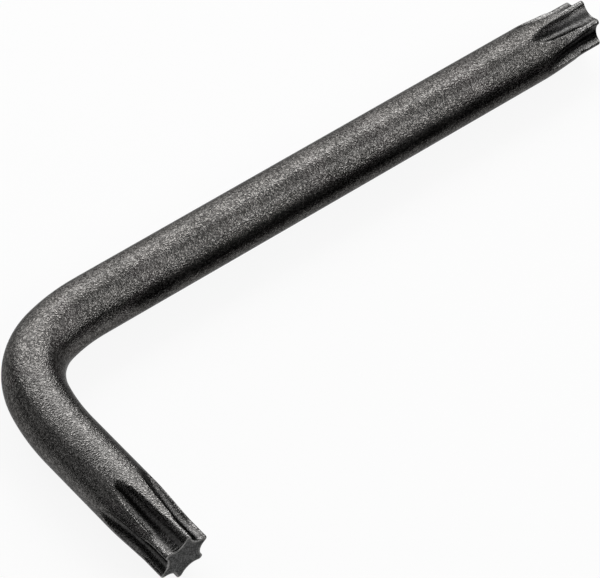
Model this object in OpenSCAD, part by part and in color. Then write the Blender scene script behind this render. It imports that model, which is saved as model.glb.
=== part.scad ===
// L-shaped key for six-lobed (hexalobular) screws.
// One round bar, bent once to a right angle, turned down and fluted at both ends.
// Millimetres. The key lies flat, with its long arm along +X and its short arm along -Y.
// The origin is on the surface that it lies on, under the middle of its length and width.

/* [Bar] */
// Diameter of the round bar
bar_d = 6; // [5.8:0.1:9]

/* [Arms] */
// Long arm, from the axis of the short arm to its own end face
long_arm = 75; // [45:1:150]
// Short arm, from the axis of the long arm to its own end face
short_arm = 28; // [24:1:60]
// Bend radius, on the axis of the bar
bend_r = 9.5; // [5:0.5:14]

/* [Star] */
// Size across the lobes, tip to tip
lobe_d = 5.5; // [5.2:0.05:5.7]
// Size across the valleys, bottom to bottom
valley_d = 3.9; // [3.6:0.02:4.2]
// Radius of a flute's round bottom
flute_r = 1.2; // [1.1:0.02:1.4]
// Length of the star at full depth, from the end face
star_len = 2.6; // [2:0.1:6]
// Radius of the curve on which a flute's bottom rises out of the bar
runout_r = 16.5; // [6:0.5:24]

/* [Ends] */
// Length of the shoulder, where the bar narrows to the size across the lobes
shoulder_len = 5; // [1:0.1:7]
// Bevel round the rim of an end face
end_bevel = 0.15; // [0.05:0.01:0.3]
// Turn of the long arm's star, from one lobe straight up
long_turn = 15; // [-30:1:30]
// Turn of the short arm's star, from one lobe straight up
short_turn = 7; // [-30:1:30]

/* [Hidden] */
$fn = 96;

LOBES = 6;
HALF_STEP = 180 / LOBES;
// How far a cutter reaches past what it cuts
CUT = 1;
// How far a round lobe overlaps the flutes on its two sides, and how far its end is sunk in the shoulder
TOUCH = 0.005;
SUNK = 0.03;
// How far the round lobes stop short of the star's full depth
STOP = 0.4;

bar_r = bar_d / 2;
lobe_tip = lobe_d / 2;
valley = valley_d / 2;
flute_at = valley + flute_r;

// A lobe is the circle that touches the flutes on its two sides and reaches the size across the lobes
flute_reach = flute_at * cos(HALF_STEP);
lobe_r = (pow(lobe_tip, 2) + pow(flute_at, 2) - pow(flute_r, 2) - 2 * lobe_tip * flute_reach)
    / (2 * (flute_r + lobe_tip - flute_reach)) + TOUCH;
lobe_at = lobe_tip - lobe_r;
lobe_len = star_len - STOP;

// The core that joins the lobes is as wide as the circle on which lobes and flutes touch
touch_part = lobe_r / (lobe_r + flute_r);
core_r = norm([lobe_at + touch_part * (flute_reach - lobe_at), touch_part * flute_at * sin(HALF_STEP)]);
core_len = lobe_len / 2;

// A flute ends in the cut of a wheel, whose rim has the flute's round section
wheel_at = valley + runout_r;
wheel_turn = acos((wheel_at - bar_r - CUT) / runout_r);

// Stands its children on the long arm's end face, with +Z out of the bar and +Y up
module at_long_end() {
    translate([long_arm, 0, 0]) rotate([90, 0, 90]) children();
}

// Stands its children on the short arm's end face, in the same way
module at_short_end() {
    translate([0, -short_arm, 0]) rotate([90, 0, 0]) children();
}

// Copies its children round the star, from one that is half_steps past the lobe at turn
module round_star(turn, half_steps) {
    for (k = [0:LOBES - 1])
        rotate([0, 0, 90 - turn + (2 * k + half_steps) * HALF_STEP]) children();
}

// Straight arm that ends at z = 0, turned down to the core that joins the lobes
module turned_arm(length) {
    rotate_extrude()
        polygon([
            [0, -length],
            [bar_r, -length],
            [bar_r, -lobe_len - shoulder_len],
            [lobe_tip + SUNK, -lobe_len],
            [core_r, -core_len],
            [core_r, 0],
            [0, 0]
        ]);
}

// Quarter ring that joins the two arms
module bend() {
    translate([bend_r, -bend_r])
        rotate([0, 0, 90])
            rotate_extrude(angle = 90)
                translate([bend_r, 0]) circle(r = bar_r);
}

// Round lobes of a star that ends at z = 0
module lobes(turn) {
    round_star(turn, 0)
        translate([lobe_at, 0, -lobe_len]) cylinder(r = lobe_r, h = lobe_len);
}

// Flutes of a star that ends at z = 0, as the shapes to cut away
module flutes(turn) {
    round_star(turn, 1) {
        translate([flute_at, 0, -star_len]) cylinder(r = flute_r, h = star_len + CUT);
        translate([wheel_at, 0, -star_len])
            rotate([90, 180, 0])
                rotate_extrude(angle = wheel_turn)
                    translate([runout_r - flute_r, 0]) circle(r = flute_r);
    }
}

// Bevel round the rim of an end face at z = 0, as the shape to cut away
module rim_bevel() {
    rotate_extrude()
        polygon([
            [lobe_tip - end_bevel - CUT, CUT],
            [lobe_tip + CUT, -end_bevel - CUT],
            [lobe_tip + CUT, CUT]
        ]);
}

module key() {
    color("dimgray")
        translate([(bar_r - long_arm) / 2, (short_arm - bar_r) / 2, bar_r])
            difference() {
                union() {
                    at_long_end() turned_arm(long_arm - bend_r);
                    bend();
                    at_short_end() turned_arm(short_arm - bend_r);
                    at_long_end() lobes(long_turn);
                    at_short_end() lobes(short_turn);
                }
                at_long_end() flutes(long_turn);
                at_long_end() rim_bevel();
                at_short_end() flutes(short_turn);
                at_short_end() rim_bevel();
            }
}

key();
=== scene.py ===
"""Star-drive key on a pale floor: one blasted steel bar, in detail, in place of its plain CAD node."""

import math

import bpy
import numpy as np
from mathutils import Matrix, Vector


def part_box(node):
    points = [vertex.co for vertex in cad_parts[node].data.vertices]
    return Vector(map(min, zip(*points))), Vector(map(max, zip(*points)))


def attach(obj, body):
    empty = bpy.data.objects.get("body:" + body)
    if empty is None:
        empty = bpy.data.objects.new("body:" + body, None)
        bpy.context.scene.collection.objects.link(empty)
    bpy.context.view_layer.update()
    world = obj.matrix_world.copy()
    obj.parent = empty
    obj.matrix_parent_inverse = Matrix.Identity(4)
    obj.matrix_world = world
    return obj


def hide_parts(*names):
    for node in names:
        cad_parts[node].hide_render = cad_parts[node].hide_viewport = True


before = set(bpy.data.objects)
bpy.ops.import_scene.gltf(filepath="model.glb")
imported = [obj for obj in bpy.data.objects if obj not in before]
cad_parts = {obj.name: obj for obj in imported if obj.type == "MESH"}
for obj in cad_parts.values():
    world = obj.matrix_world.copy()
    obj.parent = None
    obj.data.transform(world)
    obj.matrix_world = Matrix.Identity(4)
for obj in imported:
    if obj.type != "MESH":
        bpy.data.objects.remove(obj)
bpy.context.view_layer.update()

MM = 0.001
QUARTER = math.pi / 2

# A star is six sectors of 60 degrees, each with a flute in its middle and half a lobe on both sides
SECTORS = 6
SECTOR = 60.0
HALF_SECTOR = SECTOR / 2

# Sizes in millimetres. The arms and the bar come from the CAD box; these are what the box doesn't say.
# Radius at a lobe's tip and at a flute's bottom
LOBE_TIP = 2.75
VALLEY = 1.95
# Radius of a flute's round section where it is cut into the bar, and at the end face
FLUTE_R = 1.2
LOBE_FLUTE_R = 1.5
# The bend: a tight arc in the middle, and an easy one of EASE_TURN before and after it
BEND_R = 8.0
EASE_R = 20.0
EASE_TURN = math.radians(15.0)

# Each end: degrees from straight up to a lobe, length of the flutes at full depth, radius of their run-out,
# and where the shoulder ends
LONG_END = {"turn": 15.0, "star": 1.3, "runout": 22.5, "shoulder": 7.2}
SHORT_END = {"turn": -7.0, "star": 1.4, "runout": 26.0, "shoulder": 7.6}

# Distances from an end face: where the shoulder starts, up to where the section is all lobes, from where it
# is the turned bar with flutes cut in it, and where it is round again
SHOULDER_FROM = 1.8
LOBED_TO = 1.6
LANDED_FROM = 3.4
ROUND_FROM = 20.0
# Rounding of the end faces' rims and of the flutes' edges
RIM_R = 0.12
EDGE_R = 0.12
# A radius outside the bar, for where there is no flute. A flute's surface is found in SETTLE_STEPS steps,
# each of which goes SETTLE_SHARE of the way.
NO_FLUTE = 9.0
SETTLE_STEPS = 40
SETTLE_SHARE = 0.5

# The mesh: cells across a flute and across a land, and how far the land's lines draw in to its edges
FLUTE_CELLS = 16
LAND_CELLS = 14
LAND_EASE = 0.1
# Rings: their distances from an end face on its rim. From TIP_FROM to TIP_LENGTH they are TIP_STEP apart,
# and BAR_STEP on the rest of the bar. The rings on an end face divide its radius into FACE_RINGS parts.
RIM_RINGS = (0.0, 0.02, 0.045, 0.075, 0.11, 0.16)
TIP_FROM = 0.24
TIP_LENGTH = 10.0
TIP_STEP = 0.11
BAR_STEP = 0.45
FACE_RINGS = 9
# Angles tried in half a sector to find a flute's edge, and the least half angle that the lines close in to
EDGE_TRIES = 601
LEAST_EDGE = 4.0
# Distance past which a flute can run out, and the length over which the lines spread out evenly behind it
RUNOUT_FROM = 5.0
EVEN_OVER = 6.0
# Shares of the bar's length between which its lines go from one star's turn to the other's
TURN_OVER = (0.35, 0.65)

# How deep in a flute its own finish sets in, and with it painted shade: the flutes' colours grow darker with
# depth, partly as their finish and partly as painted shade in the recess. Each step's share, and the depths
# where it starts and ends
FLUTE_SHADE_STEPS = ((0.65, 0.02, 0.16), (0.35, 0.3, 0.75))
# Wear and painted highlight on the flutes' edges: its half width, its strength, where it starts, how far it
# fades and where. The edges lie at about EDGE_OUT times the radius of the flutes' bottoms.
EDGE_WEAR_AND_HIGHLIGHT = 0.08
EDGE_STRENGTH = 0.7
EDGE_FROM = 0.5
EDGE_FADE = 0.7
EDGE_FADES_OVER = (4.0, 8.0)
EDGE_OUT = 1.3
# Wear and painted highlight on the lobes' crests: its half width at the face and its growth behind it, and
# where it fades
CREST_WEAR_AND_HIGHLIGHT = 0.26
CREST_GROWTH = 0.05
CREST_GROWS_TO = 8.0
CREST_FADES_OVER = (0.5, 6.5)
# Half width of the wear and painted highlight on the end faces' rims
RIM_WEAR_AND_HIGHLIGHT = 0.13
# Lightening of the short arm, partly wear by handling and partly painted highlight, and where it sets in,
# from the long arm's end face
HANDLED_WEAR_AND_HIGHLIGHT = 0.30
HANDLED_AND_HIGHLIT_OVER = (67.0, 88.0)

# The steel's grain: cells per metre, their turn out of line with the bar in radians, and the part of their
# random shades that is used. A slow tone makes the shades drift and the gloss vary.
GRAIN_SCALE = 7800.0
GRAIN_TURN = (0.7, 0.45, 0.3)
GRAIN_RANGE = (0.15, 0.85)
TONE_SCALE = 260.0
TONE_DETAIL = 2.0
TONE_ROUGHNESS = 0.7
TONE_RANGE = (0.3, 0.7)
TONE_SHIFT = 0.10
# Colours of the dark, middle and light grains: on the bar, in the flutes, on the end faces and where worn.
# The flutes' colours are darker, partly as their finish and partly as painted shade; the worn colours are
# lighter, partly as wear and partly as painted highlight.
BAR_COLOURS = ((0.037, 0.0357, 0.0342), (0.082, 0.0791, 0.0760), (0.204, 0.1967, 0.1888))
FLUTE_FINISH_AND_SHADE_COLOURS = ((0.029, 0.0286, 0.0284), (0.043, 0.0424, 0.0420), (0.072, 0.0710, 0.0700))
FACE_COLOURS = ((0.040, 0.0400, 0.0395), (0.066, 0.0665, 0.0660), (0.120, 0.1200, 0.1190))
# Lighter colours of wear, which also paint highlights on edges, crests, rims and the short arm
WEAR_AND_HIGHLIGHT_COLOURS = ((0.150, 0.1475, 0.1450), (0.200, 0.1970, 0.1940), (0.270, 0.2660, 0.2620))
# Tint of what the metal reflects at a grazing angle, and its roughness on the bar and in the flutes
EDGE_TINT = (0.42, 0.42, 0.42)
ROUGH_LOW = 0.20
ROUGH_HIGH = 0.26
FLUTE_ROUGH = 0.20
# Dimples of the grains: depth in metres, and strength on the bar, in the flutes and on the end faces
DIMPLE = 0.00004
BUMP = 0.74
FLUTE_BUMP = 0.3
FACE_BUMP = 0.55

# The floor: half its side in metres, what it reflects, its roughness, and how far it is seen as plain white
FLOOR_HALF = 3.0
FLOOR_COLOUR = (0.9, 0.9, 0.9)
FLOOR_ROUGH = 0.9
FLOOR_WHITE = 0.9
# Black cards just over the floor, as corners in metres. The first starts inside the L and goes on past it.
# The others lie beside the short arm: one along all of it, and one further out that darkens its flutes more
# than its bar.
CARD_COLOUR = (0.01, 0.01, 0.01)
CARD_Z = 0.0002
CARDS = (
    ((-0.02, -0.09), (0.09, -0.09), (0.09, 0.0075), (-0.02, 0.0075)),
    ((-0.058, -0.04), (-0.044, -0.04), (-0.044, 0.03), (-0.058, 0.03)),
    ((-0.13, -0.04), (-0.058, -0.04), (-0.058, 0.001), (-0.13, 0.038)),
)

# The camera: where it stands round the key, how it is rolled, and its aim from the middle of the key's box
AZIMUTH = math.radians(-46.51)
ELEVATION = math.radians(49.08)
ROLL = math.radians(8.08)
DISTANCE = 0.4097
LENS = 260.25
SENSOR = 36.0
CLIP_START = 0.01
AIM_OFF = Vector((-0.00707, 0.00248, 0.0))

# Soft boxes, all at one distance: name, azimuth from +X towards +Y and elevation in degrees, width and
# height in metres, and brightness. The last three are dim: they keep the key's other sides from being black,
# and hardly show in the main view.
LAMP_DISTANCE = 0.60
LAMPS = (
    ("main_light", 42.0, 38.0, 0.32, 0.30, 4.0),
    ("back_light", 90.0, 42.0, 0.36, 0.36, 3.6),
    ("low_light", 75.0, 12.0, 0.50, 0.16, 3.3),
    ("top_light", -5.0, 58.0, 0.42, 0.34, 1.1),
    ("right_light", -50.0, 40.0, 0.34, 0.30, 3.4),
    ("left_light", 149.0, 40.0, 0.36, 0.36, 0.6),
    ("corner_light", 31.0, 28.0, 0.14, 0.16, 3.4),
    ("west_light", 216.0, 10.0, 0.34, 0.18, 0.45),
    ("south_light", -108.0, 12.0, 0.40, 0.20, 1.2),
    ("east_light", 0.0, 12.0, 0.30, 0.16, 0.5),
)
WORLD_COLOUR = (0.01, 0.01, 0.01)


def smooth(low, high, x):
    """0 below low, 1 above high, and a smooth curve between them."""
    t = np.clip((x - low) / (high - low), 0.0, 1.0)
    return t * t * (3.0 - 2.0 * t)


def soft_min(a, b, k):
    """The smaller of a and b, rounded over where they come within k of each other."""
    h = np.clip(k - np.abs(a - b), 0.0, None) / k
    return np.minimum(a, b) - h * h * k / 4.0


def box_sizes():
    """Radius of the bar, lengths of the two arms, and the corner where their axes meet, in millimetres."""
    low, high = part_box("key")
    size = (high - low) / MM
    bar_r = size.z / 2
    long_arm = size.x - bar_r
    short_arm = size.y - bar_r
    corner = Vector((low.x / MM + bar_r, high.y / MM - bar_r, low.z / MM + bar_r))
    return bar_r, long_arm, short_arm, corner


def bend_start():
    """Distance from the corner of the axes to the start of the bend, the same on both arms."""
    return EASE_R - (EASE_R - BEND_R) * (math.cos(EASE_TURN) - math.sin(EASE_TURN))


def bar_length(long_arm, short_arm):
    """Length of the bar's axis from one end face to the other."""
    bend = 2 * EASE_R * EASE_TURN + BEND_R * (QUARTER - 2 * EASE_TURN)
    return long_arm + short_arm - 2 * bend_start() + bend


def centre_line(long_arm, at):
    """Points and directions of the bar's axis at distances from the long arm's end face.

    The points are measured from the corner where the arms' axes meet.
    """
    start = bend_start()
    middle = EASE_R - (EASE_R - BEND_R) * math.cos(EASE_TURN)
    arcs = (
        ((start, -EASE_R), EASE_R, QUARTER, EASE_TURN),
        ((middle, -middle), BEND_R, QUARTER + EASE_TURN, QUARTER - 2 * EASE_TURN),
        ((EASE_R, -start), EASE_R, math.pi - EASE_TURN, EASE_TURN),
    )
    points = np.stack([long_arm - at, np.zeros_like(at)], -1)
    along = np.tile([-1.0, 0.0], (len(at), 1))
    done = long_arm - start
    for centre, radius, first, turn in arcs:
        on = at > done
        angle = first + (at[on] - done) / radius
        points[on] = np.array(centre) + radius * np.stack([np.cos(angle), np.sin(angle)], -1)
        along[on] = np.stack([-np.sin(angle), np.cos(angle)], -1)
        done += radius * turn
    on = at > done
    points[on] = np.stack([np.zeros(on.sum()), -start - (at[on] - done)], -1)
    along[on] = (0.0, -1.0)
    return points, along


def envelope(bar_r, end, s):
    """Radius that the bar is turned to, at distance s from an end face."""
    return LOBE_TIP + (bar_r - LOBE_TIP) * smooth(SHOULDER_FROM, end["shoulder"], s)


def flute_floor(end, s, psi):
    """Radius at which a flute's surface lies, psi degrees from its middle; NO_FLUTE outside it."""
    wheel_at = VALLEY + end["runout"]
    angle = np.radians(psi)
    r = np.full(np.broadcast(s, psi).shape, VALLEY)
    x = np.broadcast_to(np.clip(s - end["star"], 0.0, None), r.shape)
    missed = np.zeros(r.shape, bool)
    for _ in range(SETTLE_STEPS):
        y = r * np.sin(angle)
        missed |= np.abs(y) >= FLUTE_R
        rim = end["runout"] - FLUTE_R + np.sqrt(np.clip(FLUTE_R**2 - y * y, 0.0, None))
        depth = wheel_at - np.sqrt(np.clip(rim * rim - x * x, 0.0, None))
        missed |= rim <= x
        r = np.where(missed, r, (1.0 - SETTLE_SHARE) * r + SETTLE_SHARE * depth / np.cos(angle))
    return np.where(missed, NO_FLUTE, r)


def lobe_profile(psi):
    """Radius of the star's full section: flute circles joined by lobes that touch them."""
    half = math.radians(HALF_SECTOR)
    flute_at = VALLEY + LOBE_FLUTE_R
    reach = flute_at * math.cos(half)
    gap = LOBE_TIP**2 + flute_at**2 - LOBE_FLUTE_R**2 - 2 * LOBE_TIP * reach
    lobe_r = gap / (2 * (LOBE_FLUTE_R + LOBE_TIP - reach))
    lobe_at = LOBE_TIP - lobe_r
    part = lobe_r / (lobe_r + LOBE_FLUTE_R)
    touch = math.atan2(part * flute_at * math.sin(half), lobe_at + part * (reach - lobe_at))
    angle = np.radians(psi)
    off = half - np.abs(angle)
    dip = np.clip(LOBE_FLUTE_R**2 - (flute_at * np.sin(angle)) ** 2, 0.0, None)
    rise = np.clip(lobe_r**2 - (lobe_at * np.sin(off)) ** 2, 0.0, None)
    in_flute = flute_at * np.cos(angle) - np.sqrt(dip)
    on_lobe = lobe_at * np.cos(off) + np.sqrt(rise)
    return np.where(off > touch, in_flute, on_lobe)


def end_radius(bar_r, end, s, psi):
    """Radius of the bar near an end: lobed at the face, and a shoulder with flutes cut in it behind."""
    landed = soft_min(flute_floor(end, s, psi), envelope(bar_r, end, s), EDGE_R)
    lobed = lobe_profile(psi)
    section = lobed + (landed - lobed) * smooth(LOBED_TO, LANDED_FROM, s)
    gap = np.clip(RIM_R - s, 0.0, RIM_R)
    return section - (RIM_R - np.sqrt(RIM_R**2 - gap * gap))


def surface_radius(bar_r, from_long, from_short, psi):
    """Radius of the whole bar, from its distances to both end faces; each half is shaped as its own end."""
    long_half = end_radius(bar_r, LONG_END, np.minimum(from_long, ROUND_FROM)[:, None], psi)
    short_half = end_radius(bar_r, SHORT_END, np.minimum(from_short, ROUND_FROM)[:, None], psi)
    return np.where((from_long < from_short)[:, None], long_half, short_half)


def edge_angle(bar_r, end, s):
    """Half the angle that a flute takes up at distance s, for the mesh lines to follow its edge."""
    psi = np.linspace(0.0, HALF_SECTOR, EDGE_TRIES)
    inside = flute_floor(end, s[:, None], psi[None, :]) < envelope(bar_r, end, s)[:, None]
    return psi[np.where(inside, np.arange(len(psi)), 0).max(1)]


def line_angle(bar_r, end, s):
    """Half the angle between the mesh lines on a flute's edges; behind the flute they spread out."""
    near = s < TIP_LENGTH
    edge = np.zeros(len(s))
    edge[near] = edge_angle(bar_r, end, s[near])
    gone = (s > RUNOUT_FROM) & (edge < LEAST_EDGE)
    back = smooth(0.0, EVEN_OVER, s - s[gone].min())
    return np.where(gone, LEAST_EDGE + (SECTOR / 4 - LEAST_EDGE) * back, edge)


def grid_angles(edge):
    """Angles from the middle of a flute over one sector, a row per ring: the flute's, then the land's."""
    u = np.linspace(-1.0, 1.0, FLUTE_CELLS, endpoint=False)
    v = np.linspace(0.0, 1.0, LAND_CELLS, endpoint=False)
    flute = edge[:, None] * np.sin(u * QUARTER)[None, :]
    ease = v - LAND_EASE * np.sin(2 * math.pi * v)
    land = edge[:, None] + (SECTOR - 2 * edge[:, None]) * ease[None, :]
    return np.concatenate([flute, land], 1)


def ring_distances(total):
    """Distances of the mesh's rings from the long arm's end face, close together near both ends."""
    tip = np.concatenate([RIM_RINGS, np.arange(TIP_FROM, TIP_LENGTH, TIP_STEP)])
    middle = np.arange(TIP_LENGTH, total - TIP_LENGTH, BAR_STEP)
    return np.concatenate([tip, middle, (total - tip)[::-1]])


def round_axis(points, along, radius, theta):
    """Points at a radius round the bar's axis, theta being the angle from straight up."""
    side = np.stack([along[:, 1], -along[:, 0]], -1)
    xy = points[:, None, :] + side[:, None, :] * (radius * np.sin(theta))[..., None]
    z = radius * np.cos(theta)
    return np.concatenate([xy, z[..., None]], -1)


def in_flutes(bar_r, radius, from_long, from_short):
    """How far each point is inside a flute, from its depth below the turned bar; the flutes' finish, and
    their painted shade that darkens with depth, follow it.
    """
    turned = np.minimum(envelope(bar_r, LONG_END, from_long), envelope(bar_r, SHORT_END, from_short))
    depth = turned[:, None] - radius
    return sum(share * smooth(low, high, depth) for share, low, high in FLUTE_SHADE_STEPS)


def painted_highlight_and_wear(edge, psi, at, from_end, flute_finish_and_shade):
    """How far each point is lightened, partly by wear and partly by painted highlight: on the flutes' edges,
    the lobes' crests, the rims and the short arm.
    """
    to_edge = np.radians(np.abs(np.abs(psi) - edge[:, None]) % SECTOR) * VALLEY * EDGE_OUT
    to_crest = np.radians(HALF_SECTOR - np.abs(psi)) * LOBE_TIP
    edge_fade = 1.0 - EDGE_FADE * smooth(*EDGE_FADES_OVER, from_end)
    has_edge = smooth(EDGE_FROM, LANDED_FROM, from_end) * edge_fade
    has_crest = 1.0 - smooth(*CREST_FADES_OVER, from_end)
    crest_width = CREST_WEAR_AND_HIGHLIGHT + CREST_GROWTH * np.minimum(from_end, CREST_GROWS_TO)
    on_edge = EDGE_STRENGTH * has_edge[:, None] * np.exp(-((to_edge / EDGE_WEAR_AND_HIGHLIGHT) ** 2))
    on_crest = has_crest[:, None] * np.exp(-((to_crest / crest_width[:, None]) ** 2))
    on_star = np.tile(np.maximum(on_edge, on_crest), (1, SECTORS))
    on_rim = np.exp(-((from_end / RIM_WEAR_AND_HIGHLIGHT) ** 2))[:, None]
    # The short arm lightened by wear and painted highlight, but not in its flutes
    handled_and_highlit = HANDLED_WEAR_AND_HIGHLIGHT * smooth(*HANDLED_AND_HIGHLIT_OVER, at)[:, None] * (1.0 - flute_finish_and_shade)
    return np.maximum(np.maximum(on_star, on_rim), handled_and_highlit)


def strip(index):
    """Quads between each row of a grid of vertex numbers and the next, round the whole ring."""
    beside = np.roll(index, -1, axis=1)
    quads = []
    for a, a2, b, b2 in zip(index[:-1], beside[:-1], index[1:], beside[1:]):
        quads += list(zip(a.tolist(), a2.tolist(), b2.tolist(), b.tolist()))
    return quads


def end_face(rim, centre, outline, count, is_first):
    """Rings of points inside the rim of an end face, and the faces that close it.

    outline holds the rim's vertex numbers and count is the next free one. The faces turn the other way
    round at the first end, so that they look out of the bar at both.
    """
    points = []
    faces = []
    outer = outline
    for k in range(1, FACE_RINGS):
        points.append(centre + (rim - centre) * (1.0 - k / FACE_RINGS))
        inner = np.arange(count, count + len(rim))
        count += len(rim)
        faces += strip(np.stack([inner, outer] if is_first else [outer, inner]))
        outer = inner
    hub = outer.tolist()
    faces.append(tuple(hub[::-1] if is_first else hub))
    return np.concatenate(points), faces


def key_mesh():
    """The key as one closed mesh: its points, its faces, how many of them are round the bar, and its marks.

    The marks are numbers from 0 to 1 at each point: the first is how far it is inside a flute, which gives
    the flutes their own finish and painted shade; the second is how far it is lightened by wear and by
    painted highlight; and 'face' is 1 on the end faces.
    """
    bar_r, long_arm, short_arm, corner = box_sizes()
    total = bar_length(long_arm, short_arm)
    from_long = ring_distances(total)
    from_short = total - from_long

    long_edge = line_angle(bar_r, LONG_END, from_long)
    short_edge = line_angle(bar_r, SHORT_END, from_short)
    toward_short = smooth(*TURN_OVER, from_long / total)
    edge = long_edge + (short_edge - long_edge) * toward_short
    turn = LONG_END["turn"] + (SHORT_END["turn"] - LONG_END["turn"]) * toward_short
    psi = grid_angles(edge)
    nearest = np.where(psi > HALF_SECTOR, psi - SECTOR, psi)
    radius = np.tile(surface_radius(bar_r, from_long, from_short, nearest), (1, SECTORS))
    sector = np.repeat(np.arange(SECTORS), psi.shape[1])
    middle = turn[:, None] + HALF_SECTOR + sector[None, :] * SECTOR
    theta = np.radians(middle + np.tile(psi, (1, SECTORS)))
    axis, along = centre_line(long_arm, from_long)
    rings = round_axis(axis, along, radius, theta)

    # How far inside a flute: it gives the flutes their finish, and painted shade that darkens them with
    # depth
    flute_finish_and_shade = in_flutes(bar_r, radius, from_long, from_short)
    # Lightening by wear and by painted highlight
    wear_and_highlight = painted_highlight_and_wear(edge, nearest, from_long, np.minimum(from_long, from_short), flute_finish_and_shade)
    index = np.arange(radius.size).reshape(radius.shape)
    points = [rings.reshape(-1, 3)]
    faces = strip(index)
    sides = len(faces)
    count = radius.size
    for row in (0, -1):
        new, closing = end_face(rings[row], np.append(axis[row], 0.0), index[row], count, row == 0)
        points.append(new)
        faces += closing
        count += len(new)
    on_faces = np.zeros(count - radius.size)
    marks = {
        "flute_finish_and_shade": np.concatenate([flute_finish_and_shade.ravel(), on_faces]),
        "wear_and_highlight": np.concatenate([wear_and_highlight.ravel(), on_faces]),
        "face": np.concatenate([np.zeros(radius.size), on_faces + 1.0]),
    }
    return (np.concatenate(points) + np.array(corner)) * MM, faces, sides, marks


def new_object(name, data):
    """A new object in the scene that holds a mesh, a lamp or a camera."""
    made = bpy.data.objects.new(name, data)
    bpy.context.scene.collection.objects.link(made)
    return made


def flat_mesh(name, quads, z, material):
    """A mesh of separate level quads at height z."""
    corners = [(x, y, z) for quad in quads for x, y in quad]
    faces = [(k, k + 1, k + 2, k + 3) for k in range(0, len(corners), 4)]
    mesh = bpy.data.meshes.new(name)
    mesh.from_pydata(corners, [], faces)
    mesh.materials.append(material)
    return mesh


def build_key(material):
    """The key's object, smooth round the bar and flat on the end faces."""
    points, faces, sides, marks = key_mesh()
    mesh = bpy.data.meshes.new("star_key")
    mesh.from_pydata(points.tolist(), [], faces)
    mesh.update()
    for name, values in marks.items():
        mark = mesh.attributes.new(name, "FLOAT", "POINT")
        mark.data.foreach_set("value", values.astype(np.float32))
    mesh.polygons.foreach_set("use_smooth", np.arange(len(faces)) < sides)
    mesh.materials.append(material)
    return new_object("star_key", mesh)


def node(tree, kind, **settings):
    """A new node, with any of its own settings."""
    made = tree.nodes.new(kind)
    for name, value in settings.items():
        setattr(made, name, value)
    return made


def attribute(tree, name):
    """One of the mesh's marks, as a number."""
    return node(tree, "ShaderNodeAttribute", attribute_name=name).outputs["Fac"]


def turned_place(tree):
    """Object coordinates, turned out of line with the bar."""
    turned = node(tree, "ShaderNodeMapping")
    turned.inputs["Rotation"].default_value = GRAIN_TURN
    tree.links.new(node(tree, "ShaderNodeTexCoord").outputs["Object"], turned.inputs["Vector"])
    return turned.outputs["Vector"]


def slow_tone(tree, place):
    """Soft noise that changes over a few millimetres."""
    made = node(tree, "ShaderNodeTexNoise")
    made.inputs["Scale"].default_value = TONE_SCALE
    made.inputs["Detail"].default_value = TONE_DETAIL
    made.inputs["Roughness"].default_value = TONE_ROUGHNESS
    tree.links.new(place, made.inputs["Vector"])
    return made.outputs["Fac"]


def grains(tree, place):
    """Cells of one grain each: a shade of its own for every grain, and the distance from its middle."""
    made = node(tree, "ShaderNodeTexVoronoi")
    made.inputs["Scale"].default_value = GRAIN_SCALE
    tree.links.new(place, made.inputs["Vector"])
    return made.outputs["Color"], made.outputs["Distance"]


def spread(tree, value, from_range, to_low, to_high):
    """A number carried from one range to another, and held within it."""
    made = node(tree, "ShaderNodeMapRange")
    made.inputs["From Min"].default_value, made.inputs["From Max"].default_value = from_range
    made.inputs["To Min"].default_value = to_low
    made.inputs["To Max"].default_value = to_high
    tree.links.new(value, made.inputs["Value"])
    return made.outputs["Result"]


def math_of(tree, operation, first, second):
    """Sum, product or maximum of two numbers, each a constant or another node's output."""
    made = node(tree, "ShaderNodeMath", operation=operation)
    for socket, value in zip(made.inputs, (first, second)):
        set_or_link(tree, socket, value)
    return made.outputs["Value"]


def set_or_link(tree, socket, value):
    """Gives a socket a constant, or another node's output."""
    if hasattr(value, "type"):
        tree.links.new(value, socket)
    else:
        socket.default_value = value


def mixed_numbers(tree, share, first, second):
    """Mix of two numbers, each a constant or another node's output."""
    made = node(tree, "ShaderNodeMix", data_type="FLOAT")
    tree.links.new(share, made.inputs["Factor"])
    set_or_link(tree, made.inputs[2], first)
    set_or_link(tree, made.inputs[3], second)
    return made.outputs[0]


def mixed_colours(tree, share, first, second):
    """Mix of two nodes' colours."""
    made = node(tree, "ShaderNodeMix", data_type="RGBA")
    tree.links.new(share, made.inputs["Factor"])
    tree.links.new(first, made.inputs[6])
    tree.links.new(second, made.inputs[7])
    return made.outputs[2]


def speckled(tree, speckle, colours):
    """A grain of three colours: pits, the ground between them, and glints."""
    ramp = node(tree, "ShaderNodeValToRGB")
    ramp.color_ramp.elements.new(0.5)
    for stop, colour in zip(ramp.color_ramp.elements, colours):
        stop.color = (*colour, 1.0)
    tree.links.new(speckle, ramp.inputs["Fac"])
    return ramp.outputs["Color"]


def new_material(name):
    """A material with its node tree and shader."""
    material = bpy.data.materials.new(name)
    material.use_nodes = True
    return material, material.node_tree, material.node_tree.nodes["Principled BSDF"]


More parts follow.
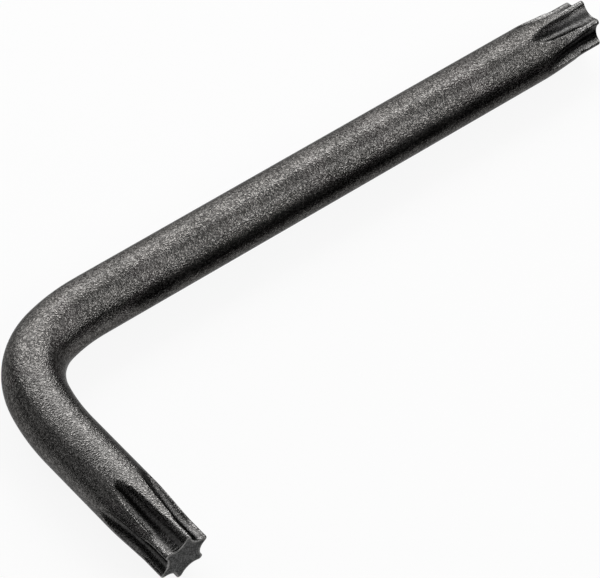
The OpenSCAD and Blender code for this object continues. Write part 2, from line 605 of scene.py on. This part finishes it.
def blackened_steel():
    """Black-finished steel, blasted to a fine glinting grain; darker in the flutes, partly as their finish
    and partly as painted shade, and bright where worn and where a highlight is painted on edges, crests,
    rims and the short arm.
    """
    material, tree, shader = new_material("blackened_steel")
    shader.inputs["Metallic"].default_value = 1.0
    shader.inputs["Specular Tint"].default_value = (*EDGE_TINT, 1.0)
    flute_finish_and_shade, wear_and_highlight, face = (attribute(tree, name) for name in ("flute_finish_and_shade", "wear_and_highlight", "face"))
    place = turned_place(tree)
    tone = slow_tone(tree, place)
    shade, dimple = grains(tree, place)

    drift = spread(tree, tone, TONE_RANGE, -TONE_SHIFT, TONE_SHIFT)
    speckle = math_of(tree, "ADD", spread(tree, shade, GRAIN_RANGE, 0.0, 1.0), drift)
    colour = speckled(tree, speckle, BAR_COLOURS)
    # The flutes' colours add painted shade to their finish, and the worn colours add painted highlight to
    # wear
    for share, colours in ((flute_finish_and_shade, FLUTE_FINISH_AND_SHADE_COLOURS), (face, FACE_COLOURS), (wear_and_highlight, WEAR_AND_HIGHLIGHT_COLOURS)):
        colour = mixed_colours(tree, share, colour, speckled(tree, speckle, colours))
    tree.links.new(colour, shader.inputs["Base Color"])

    rough = spread(tree, tone, TONE_RANGE, ROUGH_LOW, ROUGH_HIGH)
    tree.links.new(mixed_numbers(tree, flute_finish_and_shade, rough, FLUTE_ROUGH), shader.inputs["Roughness"])

    bump = node(tree, "ShaderNodeBump")
    bump.inputs["Distance"].default_value = DIMPLE
    strength = mixed_numbers(tree, face, mixed_numbers(tree, flute_finish_and_shade, BUMP, FLUTE_BUMP), FACE_BUMP)
    tree.links.new(strength, bump.inputs["Strength"])
    tree.links.new(dimple, bump.inputs["Height"])
    tree.links.new(bump.outputs["Normal"], shader.inputs["Normal"])
    return material


def matt(name, colour, roughness):
    """A plain surface with no gloss."""
    material, tree, shader = new_material(name)
    shader.inputs["Base Color"].default_value = (*colour, 1.0)
    shader.inputs["Roughness"].default_value = roughness
    shader.inputs["Specular IOR Level"].default_value = 0.0
    return material, tree, shader


def floor_material():
    """Pale floor: the camera and the metal see it lighter than it is lit, with the key's shadow on it."""
    material, tree, shader = matt("pale_floor", FLOOR_COLOUR, FLOOR_ROUGH)
    path = node(tree, "ShaderNodeLightPath")
    seen = math_of(tree, "MAXIMUM", path.outputs["Is Camera Ray"], path.outputs["Is Glossy Ray"])
    seen = math_of(tree, "MAXIMUM", seen, path.outputs["Is Transmission Ray"])
    white = node(tree, "ShaderNodeEmission")
    white.inputs["Strength"].default_value = 1.0
    mix = node(tree, "ShaderNodeMixShader")
    tree.links.new(math_of(tree, "MULTIPLY", seen, FLOOR_WHITE), mix.inputs["Fac"])
    tree.links.new(shader.outputs["BSDF"], mix.inputs[1])
    tree.links.new(white.outputs["Emission"], mix.inputs[2])
    tree.links.new(mix.outputs["Shader"], tree.nodes["Material Output"].inputs["Surface"])
    return material


def build_floor():
    """A square floor at the height that the key lies on."""
    low, high = -FLOOR_HALF, FLOOR_HALF
    square = ((low, low), (high, low), (high, high), (low, high))
    floor = new_object("floor", flat_mesh("floor", [square], 0.0, floor_material()))


def build_cards():
    """Black cards seen only in the metal: they draw the long arm's dark lower side and the black flutes."""
    material, _, _ = matt("black_card", CARD_COLOUR, 1.0)
    cards = new_object("black_card", flat_mesh("black_card", CARDS, CARD_Z, material))
    cards.visible_camera = False
    cards.visible_diffuse = False
    cards.visible_shadow = False
    cards.visible_transmission = False


def build_camera():
    """The camera, at the photograph's viewing angle."""
    low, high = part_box("key")
    aim = (low + high) / 2 + AIM_OFF
    flat = math.cos(ELEVATION)
    back = Vector((math.sin(AZIMUTH) * flat, -math.cos(AZIMUTH) * flat, math.sin(ELEVATION)))
    level = Vector((math.cos(AZIMUTH), math.sin(AZIMUTH), 0.0))
    right = level * math.cos(ROLL) + back.cross(level) * math.sin(ROLL)
    up = back.cross(right)
    data = bpy.data.cameras.new("camera")
    data.sensor_width = SENSOR
    data.lens = LENS
    data.clip_start = CLIP_START
    camera = new_object("camera", data)
    turned = Matrix((right, up, back)).transposed().to_4x4()
    camera.matrix_world = Matrix.Translation(aim + back * DISTANCE) @ turned
    bpy.context.scene.camera = camera


def soft_box(name, azimuth, elevation, width, height, brightness):
    """A rectangular lamp in one direction from the middle of the floor, turned to face it."""
    a, e = math.radians(azimuth), math.radians(elevation)
    away = Vector((math.cos(a) * math.cos(e), math.sin(a) * math.cos(e), math.sin(e)))
    data = bpy.data.lights.new(name, "AREA")
    data.shape = "RECTANGLE"
    data.size = width
    data.size_y = height
    data.energy = brightness * math.pi * width * height
    lamp = new_object(name, data)
    turned = away.to_track_quat("Z", "Y").to_matrix().to_4x4()
    lamp.matrix_world = Matrix.Translation(away * LAMP_DISTANCE) @ turned


def build_light():
    """The soft boxes, and a world that is almost dark."""
    for lamp in LAMPS:
        soft_box(*lamp)
    world = bpy.data.worlds.new("world")
    world.use_nodes = True
    world.node_tree.nodes["Background"].inputs["Color"].default_value = (*WORLD_COLOUR, 1.0)
    bpy.context.scene.world = world


bpy.context.scene.view_settings.view_transform = "Standard"
build_camera()
build_floor()
build_cards()
build_light()
key = build_key(blackened_steel())
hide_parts("key")
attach(key, "root")
